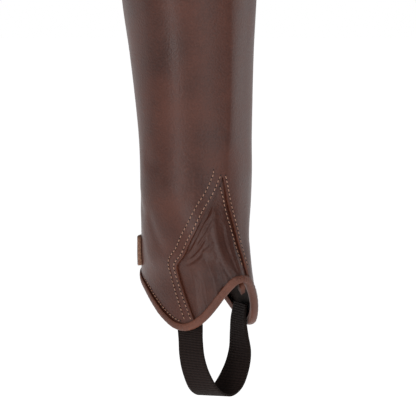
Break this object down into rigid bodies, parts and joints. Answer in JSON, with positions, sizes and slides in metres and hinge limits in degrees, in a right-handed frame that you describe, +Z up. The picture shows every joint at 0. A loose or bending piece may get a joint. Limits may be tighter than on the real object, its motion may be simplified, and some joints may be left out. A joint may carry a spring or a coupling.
{
  "type": "leather half chap",
  "caption": "Leather half chap for one leg: hollow calf sleeve with a soft ankle gusset, back zip, snap tab and elastic strap under the foot.",
  "frame": {"origin": "on the leg's axis at the widest height of the calf, where the leg holds the chap", "axes": "+Z up the leg, -Y towards the shin, -X towards the outer side of the leg"},
  "size_m": [0.1082, 0.1479, 0.477],
  "materials": {
    "leather": "semi-gloss dark reddish brown smooth leather",
    "soft_leather": "soft creased dark brown leather",
    "binding": "rolled lighter brown leather edge",
    "tape": "woven zip tape",
    "elastic": "ribbed black-brown elastic webbing",
    "metal": "antique dark brass"
  },
  "bodies": {
    "chap": {"main_panel": "leather", "ankle_gusset": "soft_leather", "hem_binding": "binding", "top_binding": "binding", "zip_tape_outer": "tape", "zip_tape_inner": "tape", "zip_chain": "metal", "zip_box": "metal", "zip_slider": "metal", "closure_tab": "leather", "snap_cap": "metal", "stirrup_elastic": "elastic"},
    "pull": {"zip_pull": "metal"}
  },
  "joints": [
    {"name": "zip_pull_hinge", "type": "hinge", "parent": "chap", "child": "pull", "pos_m": [0, 0.07302, 0.08966], "axis": [1, 0, 0], "range_deg": [0, 150]}
  ]
}
